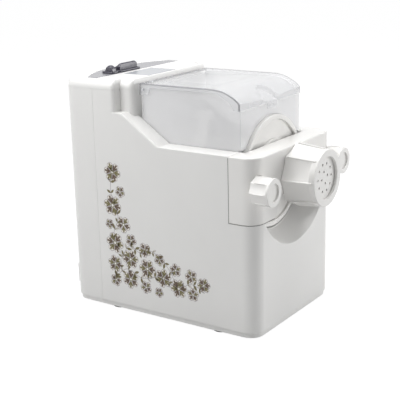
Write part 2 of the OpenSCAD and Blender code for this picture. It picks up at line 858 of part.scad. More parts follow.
module mixing_paddle() {
  color(plate_white) placed() difference() {
    union() {
      bar_y(11, disc_y + 21, bowl_end_y - clear_t - 2, 0, axis_h);
      for (i = [0 : 3]) translate([0, 66 + i * 26, axis_h]) rotate([0, i * 90 + 20, 0]) {
        translate([0, -7, -3.5]) cube([bowl_in_r - 8, 14, 7]);
        translate([bowl_in_r - 14, -12, -3.5]) cube([11, 24, 7]);
      }
    }
    bar_y(5.05, 100, 200, 0, axis_h);
  }
}

module drive_shaft() {
  color(steel) placed() {
    bar_y(5, 110, bowl_end_y + 1, 0, axis_h);
    bar_y(shaft_r, bowl_end_y + 1 - eps, plate_2_y + gear_plate_t + 4, 0, axis_h);
  }
}

module shaft_seal() {
  color(rubber_grey) placed() difference() {
    union() {
      bar_y(15.9, tower_front_y - 2.5, tower_front_y - gap, 0, axis_h);
      bar_y(10.9, bowl_end_y - clear_t, tower_front_y - 1, 0, axis_h);
    }
    bar_y(shaft_r + 0.1, 100, 260, 0, axis_h);
  }
}

// Drive train

// Six holes of radius r on a ring about an axis at height z
module hole_ring(r, ring_r, z) {
  for (a = [0 : 60 : 300]) translate([0, 0, z]) rotate([0, a, 0]) bar_y(r, 0, far, ring_r, 0, -1, mid);
}

module output_gear() {
  color(gear_cream) placed() difference() {
    translate([0, 0, axis_h]) along_y(gear_2_y, gear_2_y + gear_2_t)
      gear_outline(output_teeth, module_2, -90);
    bar_y(shaft_r, 0, far, 0, axis_h);
    difference() {
      bar_y(48, gear_2_y - 1, gear_2_y + 4, 0, axis_h);
      bar_y(14, gear_2_y - 2, gear_2_y + 5, 0, axis_h);
    }
    hole_ring(7.5, 31, axis_h);
  }
}

module idler_gear() {
  color(gear_cream) placed() difference() {
    translate([0, 0, idler_z]) along_y(gear_1_y, gear_1_y + gear_1_t)
      gear_outline(idler_teeth, module_1, -90);
    bar_y(idler_r, 0, far, 0, idler_z);
    hole_ring(6.5, 26, idler_z);
  }
}

module idler_pinion() {
  color(steel) placed() difference() {
    translate([0, 0, idler_z]) along_y(gear_1_y + gear_1_t, gear_2_y + gear_2_t)
      gear_outline(pinion_teeth, module_2, 90 + 180 / pinion_teeth);
    bar_y(idler_r, 0, far, 0, idler_z);
  }
}

module idler_shaft() {
  color(steel) placed() bar_y(idler_r, plate_1_y, plate_2_y + gear_plate_t, 0, idler_z);
}

module motor_pinion() {
  color(steel) placed() difference() {
    translate([0, 0, motor_z]) along_y(gear_1_y - 1, gear_1_y + gear_1_t + 1)
      gear_outline(motor_teeth, module_1, 90 + 180 / motor_teeth);
    bar_y(motor_shaft_r, 0, far, 0, motor_z);
  }
}

// Places one child at each of the gear plates' four screws
module at_plate_screws() {
  for (x = [-plate_screw_x, plate_screw_x]) for (z = plate_screw_zs) translate([x, 0, z]) children();
}

// A gear plate with seats for a bearing and a bush
module gear_plate(y) {
  difference() {
    along_y(y, y + gear_plate_t) translate([-gear_plate_w / 2, motor_z - 44])
      round_rect(gear_plate_w, 190, 8);
    bar_y(bearing_r, 0, far, 0, axis_h);
    bar_y(bush_r, 0, far, 0, idler_z);
    at_plate_screws() bar_y(plate_hole_r, 0, far, fn = mid);
  }
}

module front_gear_plate() {
  color(steel) placed() difference() {
    gear_plate(plate_1_y);
    bar_y(motor_hole_r, 0, far, 0, motor_z);
    for (x = [-motor_screw_x, motor_screw_x]) bar_y(plate_hole_r, 0, far, x, motor_z, -1, mid);
  }
}

module rear_gear_plate() {
  color(steel) placed() difference() {
    gear_plate(plate_2_y);
    bar_y(motor_hole_r, 0, far, 0, motor_z);
  }
}

module plate_spacers() {
  color(steel) placed() at_plate_screws() difference() {
    bar_y(5, plate_1_y + gear_plate_t, plate_2_y, fn = mid);
    bar_y(plate_hole_r, 0, far, fn = mid);
  }
}

module plate_screws() {
  color(steel) placed() at_plate_screws() {
    bar_y(2, plate_1_y - 1, plate_2_y + gear_plate_t, fn = mid);
    bar_y(4, plate_2_y + gear_plate_t, plate_2_y + gear_plate_t + 2.5, fn = mid);
  }
}

module shaft_bearings() {
  color(steel) placed() for (y = [plate_1_y - 1, plate_2_y - 1]) difference() {
    bar_y(bearing_r, y, y + 6, 0, axis_h);
    bar_y(shaft_r + 0.04, 0, far, 0, axis_h);
  }
}

module idler_bushes() {
  color(brass) placed() for (y = [plate_1_y, plate_2_y]) difference() {
    bar_y(bush_r, y, y + gear_plate_t, 0, idler_z);
    bar_y(idler_r + 0.04, 0, far, 0, idler_z);
  }
}

// Motor

module motor_shaft() {
  color(steel) placed() bar_y(motor_shaft_r, motor_y - 24, gear_1_y + gear_1_t + 3, 0, motor_z);
}

module motor_rotor() {
  color([0.45, 0.30, 0.20]) placed() difference() {
    bar_y(23, motor_y + bell_t + 10, plate_1_y - 20, 0, motor_z);
    bar_y(motor_shaft_r, 0, far, 0, motor_z);
    for (a = [0 : 30 : 330]) translate([0, 0, motor_z]) rotate([0, a, 0])
      translate([20, 0, -1.2]) cube([6, 300, 2.4]);
  }
}

module motor_can() {
  color([0.62, 0.63, 0.65]) placed() difference() {
    bar_y(motor_r, motor_y + bell_t, plate_1_y - 8, 0, motor_z);
    bar_y(motor_r - 3, motor_y - 1, plate_1_y, 0, motor_z);
  }
}

module motor_end_bells() {
  color([0.55, 0.56, 0.58]) placed() {
    difference() {
      bar_y(motor_r, motor_y, motor_y + bell_t, 0, motor_z);
      bar_y(motor_shaft_r + 0.04, 0, far, 0, motor_z);
      hole_ring(5, 23, motor_z);
    }
    difference() {
      bar_y(motor_r, plate_1_y - 8, plate_1_y, 0, motor_z);
      bar_y(motor_shaft_r + 0.04, 0, far, 0, motor_z);
      for (x = [-motor_screw_x, motor_screw_x]) bar_y(1.9, 0, far, x, motor_z, -1, mid);
    }
  }
}

module motor_screws() {
  color(steel) placed() for (x = [-motor_screw_x, motor_screw_x]) {
    bar_y(1.9, plate_1_y - 6, plate_1_y + gear_plate_t, x, motor_z, -1, mid);
    bar_y(3.4, plate_1_y + gear_plate_t, plate_1_y + gear_plate_t + 2, x, motor_z, -1, mid);
  }
}

module cooling_fan() {
  color([0.2, 0.22, 0.25]) placed() {
    difference() {
      bar_y(9, motor_y - 20, motor_y - 6, 0, motor_z);
      bar_y(motor_shaft_r, 0, far, 0, motor_z);
    }
    for (a = [0 : 45 : 315]) translate([0, motor_y - 13, motor_z]) rotate([0, a, 0])
      translate([8, 0, 0]) rotate([35, 0, 0]) translate([0, -6, -0.8]) cube([24, 12, 1.6]);
  }
}

// Electrics

module control_board() {
  color(board_green) placed() box([-board_half, board_y, board_zs[0]], [board_half, parts_y, board_zs[1]]);
}

module board_parts() {
  color(black) placed() {
    // Relay, bridge, two tall capacitors, chip and a row of connectors
    box([-60, parts_y, 190], [-34, parts_y + 16.4, 222]);
    box([-24, parts_y, 196], [-4, parts_y + 12.4, 216]);
    for (x = [16, 40]) bar_y(9, parts_y, parts_y + 22.4, x, 205, -1, mid);
    box([-50, parts_y, 142], [-20, parts_y + 3.4, 166]);
    for (x = [10 : 12 : 58]) box([x - 3, parts_y, 140], [x + 3, parts_y + 8.4, 150]);
  }
}

module power_inlet() {
  color(black) placed() difference() {
    along_y(body_d - 22, body_d + inlet_reach)
      translate([-inlet_x - 13.8, inlet_z + 5.2]) round_rect(27.6, 19.6, 3);
    along_y(body_d - 16, body_d + inlet_reach + 1)
      translate([-inlet_x - 11, inlet_z + 8]) round_rect(22, 14, 4);
    pin_bars(0);
  }
}

// The three flat pins of the inlet
module pin_bars(extra) {
  for (s = [-1, 0, 1])
    box([-inlet_x + s * pin_pitch - 1 - extra, body_d - 26, inlet_pin_z - 2 - extra],
        [-inlet_x + s * pin_pitch + 1 + extra, body_d - 2, inlet_pin_z + 2 + extra]);
}

module inlet_pins() {
  color(brass) placed() pin_bars(0);
}

// Pairs of wires from the inlet to the board and from the switches to the board
module wiring() {
  color([0.25, 0.30, 0.55]) placed() for (s = [-1, 1]) {
    bar_y(wire_r, board_y - 2, body_d - 26, s * pin_pitch - inlet_x, inlet_pin_z, -1, 24);
    translate([s * pin_pitch - inlet_x, board_y - wire_r, inlet_pin_z])
      cylinder(h = 108, r = wire_r, $fn = 24);
    for (x = [power_x, mode_x])
      translate([s * 3 + x, board_y - wire_r, 200]) cylinder(h = 65, r = wire_r, $fn = 24);
  }
}

base_plate();
rubber_feet();
base_screws();
main_housing();
rear_cover();
rear_cover_screws();
top_cover();
control_panel();
top_inlay();
mode_bezel();
mode_rocker();
power_bezel();
power_rocker();
mode_switch();
power_switch();
bowl_well();
mixing_bowl();
bowl_lid();
lid_magnet();
lid_pins();
reed_switch();
front_plate();
head_disc();
disc_gasket();
extrusion_barrel();
barrel_seal();
die_disc();
die_nut();
left_knob();
right_knob();
left_knob_insert();
right_knob_insert();
knob_studs();
stud_nuts();
auger();
mixing_paddle();
drive_shaft();
shaft_seal();
output_gear();
idler_gear();
idler_pinion();
idler_shaft();
front_gear_plate();
rear_gear_plate();
plate_spacers();
plate_screws();
shaft_bearings();
idler_bushes();
motor_pinion();
motor_shaft();
motor_rotor();
motor_can();
motor_end_bells();
motor_screws();
cooling_fan();
control_board();
board_parts();
power_inlet();
inlet_pins();
wiring();
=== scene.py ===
"""Electric pasta maker: looks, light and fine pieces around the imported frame."""
import json
import math
import random

import bmesh
import bpy
from mathutils import Matrix, Vector


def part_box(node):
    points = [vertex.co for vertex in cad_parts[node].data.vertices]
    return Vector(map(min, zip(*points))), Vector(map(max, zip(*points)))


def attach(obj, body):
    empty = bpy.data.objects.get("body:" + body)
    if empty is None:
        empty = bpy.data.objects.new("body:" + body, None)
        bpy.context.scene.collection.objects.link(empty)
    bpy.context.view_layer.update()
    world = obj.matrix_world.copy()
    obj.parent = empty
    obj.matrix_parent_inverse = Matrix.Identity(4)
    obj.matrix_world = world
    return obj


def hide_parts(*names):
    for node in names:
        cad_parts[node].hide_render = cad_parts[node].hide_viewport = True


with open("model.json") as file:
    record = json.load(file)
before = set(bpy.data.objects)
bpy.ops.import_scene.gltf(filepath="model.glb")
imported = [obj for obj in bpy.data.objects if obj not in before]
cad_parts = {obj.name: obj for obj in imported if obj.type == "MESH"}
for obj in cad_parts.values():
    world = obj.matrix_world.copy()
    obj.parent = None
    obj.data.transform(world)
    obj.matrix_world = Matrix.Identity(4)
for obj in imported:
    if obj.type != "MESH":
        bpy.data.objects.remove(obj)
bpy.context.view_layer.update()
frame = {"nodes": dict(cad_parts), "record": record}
NODES = frame["nodes"]
MM = 0.001
FRONT_Y = -125.0          # the body's front face in the part's frame, in mm


def box_mm(node):
    """A node's lowest and highest corners at rest, in mm."""
    return [[v / MM for v in corner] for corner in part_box(node)]


# ---------------------------------------------------------------- camera

CAMERA_AT = (-0.990310, -0.661341, 0.472120)
CAMERA_TURN = (-55.652, 15.844, -1.379)   # azimuth, elevation and roll
CAMERA_LENS = 86.846
CAMERA_SENSOR = 36.0


def make_camera():
    az, el, roll = (math.radians(a) for a in CAMERA_TURN)
    back = Vector((math.sin(az) * math.cos(el), -math.cos(az) * math.cos(el), math.sin(el)))
    right = Vector((math.cos(az), math.sin(az), 0))
    up = back.cross(right)
    c, s = math.cos(roll), math.sin(roll)
    right, up = right * c + up * s, up * c - right * s
    data = bpy.data.cameras.new("camera")
    data.lens = CAMERA_LENS
    data.sensor_width = CAMERA_SENSOR
    data.clip_start, data.clip_end = 0.05, 50
    camera = bpy.data.objects.new("camera", data)
    turn = Matrix((right, up, back)).transposed().to_4x4()
    camera.matrix_world = Matrix.Translation(CAMERA_AT) @ turn
    bpy.context.scene.collection.objects.link(camera)
    bpy.context.scene.camera = camera


# ---------------------------------------------------------------- materials

class Nodes:
    """A material's node tree with short ways to add to it."""

    def __init__(self, name):
        self.material = bpy.data.materials.new(name)
        self.material.use_nodes = True
        self.tree = self.material.node_tree
        self.shader = self.tree.nodes["Principled BSDF"]
        self.output = self.tree.nodes["Material Output"]
        self.place = self.add("ShaderNodeTexCoord").outputs["Object"]

    def add(self, kind, **values):
        node = self.tree.nodes.new(kind)
        for key, value in values.items():
            if hasattr(node, key):
                setattr(node, key, value)
            else:
                node.inputs[key.replace("_", " ")].default_value = value
        return node

    def link(self, a, b):
        self.tree.links.new(a, b)

    def noise(self, scale, detail=3.0, stretch=None):
        node = self.add("ShaderNodeTexNoise", Scale=scale, Detail=detail)
        place = self.place
        if stretch:
            mapping = self.add("ShaderNodeMapping")
            mapping.inputs["Scale"].default_value = stretch
            self.link(place, mapping.inputs["Vector"])
            place = mapping.outputs["Vector"]
        self.link(place, node.inputs["Vector"])
        return node.outputs["Fac"]

    def ramp(self, source, low, high, start=0.3, end=0.7):
        node = self.add("ShaderNodeMapRange")
        for key, value in (("From Min", start), ("From Max", end), ("To Min", low), ("To Max", high)):
            node.inputs[key].default_value = value
        self.link(source, node.inputs["Value"])
        return node.outputs["Result"]

    def mix(self, factor, a, b):
        node = self.add("ShaderNodeMix", data_type="RGBA")
        self.link(factor, node.inputs[0])
        for slot, value in ((6, a), (7, b)):
            if hasattr(value, "is_linked"):
                self.link(value, node.inputs[slot])
            else:
                node.inputs[slot].default_value = (*value, 1)
        return node.outputs[2]

    def bump(self, height, distance, strength=1.0):
        node = self.add("ShaderNodeBump", Strength=strength, Distance=distance)
        self.link(height, node.inputs["Height"])
        if self.shader.inputs["Normal"].is_linked:
            self.link(self.shader.inputs["Normal"].links[0].from_socket, node.inputs["Normal"])
        self.link(node.outputs["Normal"], self.shader.inputs["Normal"])

    def set(self, **values):
        for key, value in values.items():
            self.shader.inputs[key.replace("_", " ")].default_value = value


def shaded(colour, factor):
    return tuple(min(1.0, c * factor) for c in colour)


def moulded(name, colour, rough=0.3, grain=0.00003, worn=0.975, coat=0.0):
    """Moulded plastic: faint mottling, fine grain, slow waves of the mould and uneven gloss."""
    n = Nodes(name)
    mottle = n.ramp(n.noise(14.0, 3.0), 0.0, 1.0)
    n.link(n.mix(mottle, shaded(colour, worn), colour), n.shader.inputs["Base Color"])
    n.link(n.ramp(n.noise(35.0, 3.0), rough * 0.92, rough * 1.08), n.shader.inputs["Roughness"])
    n.bump(n.noise(7.0, 1.0), 0.0005, 0.2)
    n.bump(n.noise(320.0, 2.0), grain, 0.2)
    n.set(IOR=1.49)
    if coat:
        n.set(Coat_Weight=coat, Coat_Roughness=0.12)
    return n.material


def clear_plastic(name, colour, rough, cover):
    """Clear moulded plastic: a thin even veil with faint flow marks and a slightly hazy gloss."""
    n = Nodes(name)
    haze = n.ramp(n.noise(18.0, 3.0), 0.0, 1.0)
    n.link(n.mix(haze, shaded(colour, 0.985), colour), n.shader.inputs["Base Color"])
    n.link(n.ramp(n.noise(50.0, 3.0), rough * 0.8, rough * 1.3), n.shader.inputs["Roughness"])
    n.bump(n.noise(12.0, 1.0, (1.0, 1.0, 0.35)), 0.0006, 0.15)
    n.set(IOR=1.49, Alpha=cover)
    return n.material


def metal(name, colour, rough=0.3, stretch=(1.0, 0.05, 1.0)):
    """Turned or plated metal with fine lines along its axis."""
    n = Nodes(name)
    lines = n.noise(700.0, 3.0, stretch)
    n.link(n.mix(n.ramp(lines, 0.0, 1.0), shaded(colour, 0.86), colour), n.shader.inputs["Base Color"])
    n.link(n.ramp(n.noise(150.0, 4.0), rough * 0.8, rough * 1.3), n.shader.inputs["Roughness"])
    n.bump(lines, 0.00003, 0.5)
    n.set(Metallic=1.0)
    return n.material


def rubber(name, colour, rough=0.75):
    """Soft rubber or silicone with a dusty, pebbled surface."""
    n = Nodes(name)
    dust = n.ramp(n.noise(120.0, 5.0), 0.0, 1.0, 0.4, 0.75)
    n.link(n.mix(dust, colour, shaded(colour, 1.18)), n.shader.inputs["Base Color"])
    n.link(n.ramp(n.noise(60.0), rough * 0.9, min(1.0, rough * 1.1)), n.shader.inputs["Roughness"])
    n.bump(n.noise(1200.0, 2.0), 0.00008, 0.6)
    return n.material


def printed(name, colour, rough=0.42):
    """A thin printed ink with uneven cover."""
    n = Nodes(name)
    cover = n.ramp(n.noise(1400.0, 3.0), 0.0, 1.0, 0.35, 0.7)
    n.link(n.mix(cover, colour, shaded(colour, 1.25)), n.shader.inputs["Base Color"])
    n.link(n.ramp(n.noise(500.0), rough * 0.9, rough * 1.2), n.shader.inputs["Roughness"])
    n.bump(n.noise(1800.0, 2.0), 0.00002, 0.5)
    return n.material


def board_material(name):
    """Circuit board: green lacquer over faint copper tracks."""
    n = Nodes(name)
    wave = n.add("ShaderNodeTexWave", Scale=180.0, Distortion=6.0)
    n.link(n.place, wave.inputs["Vector"])
    track = n.ramp(wave.outputs["Fac"], 0.0, 1.0, 0.55, 0.65)
    n.link(n.mix(track, (0.02, 0.16, 0.07), (0.05, 0.27, 0.12)), n.shader.inputs["Base Color"])
    n.link(n.ramp(n.noise(200.0), 0.28, 0.42), n.shader.inputs["Roughness"])
    n.bump(wave.outputs["Fac"], 0.00005, 0.4)
    return n.material


SHELL = (0.84, 0.835, 0.82)
HEAD = (0.86, 0.85, 0.83)
MATERIALS = {
    "shell_white": moulded("shell_white", SHELL, 0.3),
    "head_white": moulded("head_white", HEAD, 0.24, coat=0.15),
    "clear": clear_plastic("clear", (0.99, 0.99, 1.0), 0.12, 0.5),
    "panel_grey": moulded("panel_grey", (0.23, 0.23, 0.25), 0.26, coat=0.1),
    "inlay_grey": moulded("inlay_grey", (0.38, 0.395, 0.42), 0.24, coat=0.1),
    "switch_grey": moulded("switch_grey", (0.055, 0.052, 0.075), 0.24, coat=0.4),
    "rubber": rubber("rubber", (0.11, 0.11, 0.115)),
    "seal_dark": rubber("seal_dark", (0.17, 0.165, 0.16), 0.8),
    "seal_white": rubber("seal_white", (0.74, 0.74, 0.72), 0.6),
    "steel": metal("steel", (0.62, 0.63, 0.65), 0.28),
    "brass": metal("brass", (0.72, 0.53, 0.22), 0.3),
    "gear_plastic": moulded("gear_plastic", (0.78, 0.74, 0.62), 0.45, 0.00006),
    "motor_grey": metal("motor_grey", (0.5, 0.51, 0.53), 0.42, (1.0, 1.0, 0.2)),
    "winding": metal("winding", (0.42, 0.2, 0.09), 0.4, (1.0, 0.03, 1.0)),
    "black_plastic": moulded("black_plastic", (0.02, 0.02, 0.022), 0.4),
    "board": board_material("board"),
    "wire": moulded("wire", (0.05, 0.09, 0.3), 0.4),
}
LID_CLEAR = clear_plastic("lid_clear", (0.97, 0.975, 0.99), 0.1, 0.28)
# Dark grey clear plastic for the lid's rounded edges and back row: painted shade that stands in for the
# dark that refraction gives edges of clear plastic
CLEAR_EDGE_SHADE = clear_plastic("clear_edge_shade", (0.26, 0.26, 0.28), 0.15, 0.75)


# ---------------------------------------------------------------- pieces

def add_piece(name, bm, materials, body):
    """Makes a new piece of a bmesh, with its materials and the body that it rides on."""
    mesh = bpy.data.meshes.new(name)
    bm.to_mesh(mesh)
    bm.free()
    for material in materials:
        mesh.materials.append(material)
    piece = bpy.data.objects.new(name, mesh)
    bpy.context.scene.collection.objects.link(piece)
    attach(piece, body)
    return piece


# ---------------------------------------------------------------- CAD nodes

def smooth_group():
    """A node group that smooths faces and keeps edges sharp above an angle."""
    tree = bpy.data.node_groups.new("smooth_below_angle", "GeometryNodeTree")
    tree.interface.new_socket("Geometry", in_out="INPUT", socket_type="NodeSocketGeometry")
    tree.interface.new_socket("Geometry", in_out="OUTPUT", socket_type="NodeSocketGeometry")
    start, end = tree.nodes.new("NodeGroupInput"), tree.nodes.new("NodeGroupOutput")
    faces = tree.nodes.new("GeometryNodeSetShadeSmooth")
    edges = tree.nodes.new("GeometryNodeSetShadeSmooth")
    edges.domain = "EDGE"
    edges.inputs["Shade Smooth"].default_value = False
    angle = tree.nodes.new("GeometryNodeInputMeshEdgeAngle")
    above = tree.nodes.new("FunctionNodeCompare")
    above.operation = "GREATER_THAN"
    above.inputs[1].default_value = math.radians(SMOOTH_ANGLE)
    for a, b in (
        (start.outputs[0], faces.inputs["Geometry"]),
        (faces.outputs[0], edges.inputs["Geometry"]),
        (angle.outputs["Unsigned Angle"], above.inputs[0]),
        (above.outputs[0], edges.inputs["Selection"]),
        (edges.outputs[0], end.inputs[0]),
    ):
        tree.links.new(a, b)
    return tree


SMOOTH_ANGLE = 32.0
SMOOTH_GROUP = smooth_group()


def smooth(obj):
    obj.modifiers.new("smooth", "NODES").node_group = SMOOTH_GROUP


def edge_share(name, width, radius, rules):
    """A node group that gives each convex edge its share of the bevel's width.

    A rule is a radius and the ranges, as axis, low and high in mm, that an edge's middle lies in.
    """
    tree = bpy.data.node_groups.new(name, "GeometryNodeTree")
    tree.interface.new_socket("Geometry", in_out="INPUT", socket_type="NodeSocketGeometry")
    tree.interface.new_socket("Geometry", in_out="OUTPUT", socket_type="NodeSocketGeometry")

    def add(kind, **values):
        node = tree.nodes.new(kind)
        for key, value in values.items():
            setattr(node, key, value)
        return node

    def compare(value, level, operation):
        node = add("FunctionNodeCompare", operation=operation)
        tree.links.new(value, node.inputs[0])
        node.inputs[1].default_value = level
        return node.outputs[0]

    def both(a, b):
        node = add("FunctionNodeBooleanMath", operation="AND")
        tree.links.new(a, node.inputs[0])
        tree.links.new(b, node.inputs[1])
        return node.outputs[0]

    def choose(test, share, otherwise):
        node = add("GeometryNodeSwitch", input_type="FLOAT")
        tree.links.new(test, node.inputs["Switch"])
        node.inputs["True"].default_value = share
        if isinstance(otherwise, float):
            node.inputs["False"].default_value = otherwise
        else:
            tree.links.new(otherwise, node.inputs["False"])
        return node.outputs[0]

    place = add("ShaderNodeSeparateXYZ")
    tree.links.new(add("GeometryNodeInputPosition").outputs[0], place.inputs[0])
    share = radius / width
    for rule_radius, ranges in rules:
        test = None
        for axis, low, high in ranges:
            inside = both(compare(place.outputs[axis], low * MM, "GREATER_THAN"),
                          compare(place.outputs[axis], high * MM, "LESS_THAN"))
            test = both(test, inside) if test else inside
        share = choose(test, rule_radius / width, share)
    angle = add("GeometryNodeInputMeshEdgeAngle").outputs["Signed Angle"]
    convex = compare(angle, math.radians(BEVEL_ANGLE), "GREATER_THAN")
    product = add("ShaderNodeMath", operation="MULTIPLY")
    tree.links.new(convex, product.inputs[0])
    if isinstance(share, float):
        product.inputs[1].default_value = share
    else:
        tree.links.new(share, product.inputs[1])
    store = add("GeometryNodeStoreNamedAttribute", data_type="FLOAT", domain="EDGE")
    store.inputs["Name"].default_value = "bevel_weight_edge"
    tree.links.new(product.outputs[0], store.inputs["Value"])
    start, end = add("NodeGroupInput"), add("NodeGroupOutput")
    tree.links.new(start.outputs[0], store.inputs["Geometry"])
    tree.links.new(store.outputs[0], end.inputs[0])
    return tree


BEVEL_ANGLE = 34.0


def soften(obj, radius, rules=(), segments=2):
    """Rounds an object's sharp outer edges without touching its own mesh."""
    weld = obj.modifiers.new("weld", "WELD")
    weld.merge_threshold = 0.00001
    width = max([radius] + [r for r, _ in rules])
    if width:
        group = edge_share(obj.name + "_edges", width, radius, rules)
        obj.modifiers.new("edge_share", "NODES").node_group = group
        bevel = obj.modifiers.new("edges", "BEVEL")
        bevel.width = width * MM
        bevel.segments = segments
        bevel.limit_method = "WEIGHT"
        bevel.use_clamp_overlap = False
        bevel.miter_outer = "MITER_ARC"
    smooth(obj)
    flat = obj.modifiers.new("flat_faces", "WEIGHTED_NORMAL")
    flat.keep_sharp = True
    flat.weight = 90


# Places that the edge rules use, in mm
SIDE_X = -box_mm("main_housing")[0][0]
DECK_Z = box_mm("front_plate")[1][2]
SEAM_Z = box_mm("main_housing")[1][2]
REAR_Y = box_mm("rear_cover")[0][1]
PLATE_Y = box_mm("front_plate")[1][1]
RAMP_START, RAMP_END = FRONT_Y + 134.5, FRONT_Y + 187.5
NEAR = 0.15


def at(axis, value, reach=NEAR):
    return axis, value - reach, value + reach


def on_both_sides(radius, *ranges):
    return [(radius, (at(0, side * SIDE_X), *ranges)) for side in (-1, 1)]


HOUSING_RULES = [
    *on_both_sides(1.5, (2, DECK_Z - 1, DECK_Z + 1)),
    *on_both_sides(4.6, (1, RAMP_START, RAMP_END), (2, DECK_Z, SEAM_Z - 20)),
    (0.2, (at(1, PLATE_Y, 0.5),)),
    (0.25, (at(1, REAR_Y, 0.3),)),
    (0.0, (at(2, SEAM_Z, 0.3),)),
]
PLATE_RULES = [
    (1.8, (at(2, DECK_Z),)),
    (0.3, (at(1, PLATE_Y),)),
]
COVER_RULES = [
    (0.25, (at(1, REAR_Y, 0.3),)),
    (0.0, (at(2, SEAM_Z, 0.3),)),
]
# The edge radius in mm of each node that shows, its rules and the bevel's segments
EDGES = {
    "main_housing": (0.8, HOUSING_RULES, 4), "rear_cover": (0.5, COVER_RULES, 2),
    "top_cover": (0.4, COVER_RULES, 2), "front_plate": (0.8, PLATE_RULES, 4),
    "base_plate": (0.5, (), 2), "head_disc": (0.9, (), 3), "die_nut": (0.5, (), 2),
    "left_knob": (0.5, (), 2), "right_knob": (0.5, (), 2), "left_knob_insert": (0.3, (), 2),
    "right_knob_insert": (0.3, (), 2), "die_disc": (0.0, (), 1), "mode_bezel": (0.9, (), 3),
    "power_bezel": (0.9, (), 3), "mode_rocker": (0.5, (), 2), "power_rocker": (0.5, (), 2),
    "control_panel": (0.2, (), 2), "top_inlay": (0.2, (), 2), "mixing_bowl": (0.6, (), 3),
    "rubber_feet": (0.3, (), 2), "bowl_well": (0.5, (), 2),
}


def dress_nodes():
    slots = {s["node"]: s["material_slot"] for s in frame["record"]["subparts"]}
    for name, obj in NODES.items():
        obj.data.materials.clear()
        obj.data.materials.append(MATERIALS[slots[name]])
        if name in EDGES:
            soften(obj, *EDGES[name])


# ---------------------------------------------------------------- painted shade in the gap round the front plate

CORNER_R = 19.0
ARCH_X = 52.0                             # where the painted gap shade ends, at the arch round the head disc
PLATE_Z = box_mm("front_plate")[0][2]
GAP_SHADE_WIDTH = 0.7
GAP_SHADE_PROUD = 0.04
GAP_SHADE_TOP = DECK_Z - 2
CORNER_STEPS = 12


def gap_shade_edges(side):
    """The two edges of the painted gap shade round the plate: from the deck down, round the corner, to
    the arch.
    """
    reach = CORNER_R + GAP_SHADE_PROUD
    x, low = side * (SIDE_X + GAP_SHADE_PROUD), PLATE_Z - GAP_SHADE_WIDTH
    pairs = [
        ((x, PLATE_Y, GAP_SHADE_TOP), (x, PLATE_Y + GAP_SHADE_WIDTH, GAP_SHADE_TOP)),
        ((x, PLATE_Y, PLATE_Z), (x, PLATE_Y + GAP_SHADE_WIDTH, low)),
    ]
    for step in range(CORNER_STEPS + 1):
        turn = math.radians(90 * step / CORNER_STEPS)
        x = side * (SIDE_X - CORNER_R + reach * math.cos(turn))
        y = FRONT_Y + CORNER_R - reach * math.sin(turn)
        pairs.append(((x, y, PLATE_Z), (x, y, low)))
    x, y = side * ARCH_X, FRONT_Y - GAP_SHADE_PROUD
    return pairs + [((x, y, PLATE_Z), (x, y, low))]


def plate_gap_shade(name, side):
    """A thin dark strip of painted shade along the gap round the front plate, where the real thing has
    only the gap's shadow.
    """
    bm = bmesh.new()
    rows = [[bm.verts.new(Vector(p) * MM) for p in pair] for pair in gap_shade_edges(side)]
    for (a, b), (c, d) in zip(rows, rows[1:]):
        bm.faces.new((a, b, d, c))
    add_piece(name, bm, [MATERIALS["seal_dark"]], "housing")


# ---------------------------------------------------------------- ribs on the nut and the knobs

AXIS_Z = 184.0
KNOB_X = 88.0
RIB_PROFILE = [(-1.25, -0.8), (-1.1, 0.8), (-0.6, 1.45), (0.6, 1.45), (1.1, 0.8), (1.25, -0.8)]
RIB_STATIONS = [(0.0, 0.0), (0.03, 1.0), (0.97, 1.0), (1.0, 0.0)]   # place along it, share of its height
NUT_RIB = ((-39.5, 34.2), (-2.5, 37.8))                             # front and back, as y and radius
KNOB_RIB = ((-15.5, 16.5), (-1.5, 16.5))
KNOB_RIB_SCALE = 0.55
RIB_COUNT = 8


def ribs(name, body, x, ends, scale):
    """Rounded ribs along a turned part, one between each two of its flutes."""
    (y0, r0), (y1, r1) = ends
    bm = bmesh.new()
    for k in range(RIB_COUNT):
        turn = math.radians(360 / RIB_COUNT * k)
        out = Vector((math.sin(turn), 0, math.cos(turn)))
        side = Vector((math.cos(turn), 0, -math.sin(turn)))
        rings = []
        for t, share in RIB_STATIONS:
            foot = Vector((x, FRONT_Y + y0 + (y1 - y0) * t, AXIS_Z)) + out * (r0 + (r1 - r0) * t)
            ring = []
            for p, h in RIB_PROFILE:
                height = h if h < 0 else h * share
                ring.append(bm.verts.new((foot + side * p * scale + out * height * scale) * MM))
            rings.append(ring)
        for a, b in zip(rings, rings[1:]):
            for i in range(len(a)):
                j = (i + 1) % len(a)
                bm.faces.new((a[i], a[j], b[j], b[i]))
        bm.faces.new(rings[0])
        bm.faces.new(rings[-1])
    bmesh.ops.recalc_face_normals(bm, faces=bm.faces[:])
    smooth(add_piece(name, bm, [MATERIALS["head_white"]], body))


# ---------------------------------------------------------------- lid

LID_LOW, LID_HIGH = box_mm("bowl_lid")
TAB_REACH = 2.3
LID_FRONT = LID_LOW[1] + TAB_REACH
LID_BACK = LID_HIGH[1]
LID_TOP = LID_HIGH[2]
LID_HALF = LID_HIGH[0]
LID_WALL = 2.0
LID_SKIRT = 4.5
LID_EAR = (12.0, 14.0)                    # its length and its depth below the top
LIP_HEIGHT = 8.0
SLOPE = [(0, 15), (4, 11.3), (9.5, 7.7), (16, 4.5), (24, 1.6), (34, 0)]   # depth and drop
LIP_FOOT = LID_TOP - SLOPE[0][1] - LIP_HEIGHT
LIP_STATIONS = (0, 0.1, 0.4, 0.7)         # shares of the lip's height
LID_UNDERSIDE = [(8, LIP_FOOT), (14, LIP_FOOT + 9), (30, LID_TOP - LID_SKIRT)]   # depth and height
CORNER = 1.3
DIP, DIP_REACH = 2.6, 26
SCOOP = (-2.0, 16.0, 18.5, 3.2)           # middle, half width, length and depth
SCOOP_EDGE = 0.1                          # the share of the scoop that its edge takes
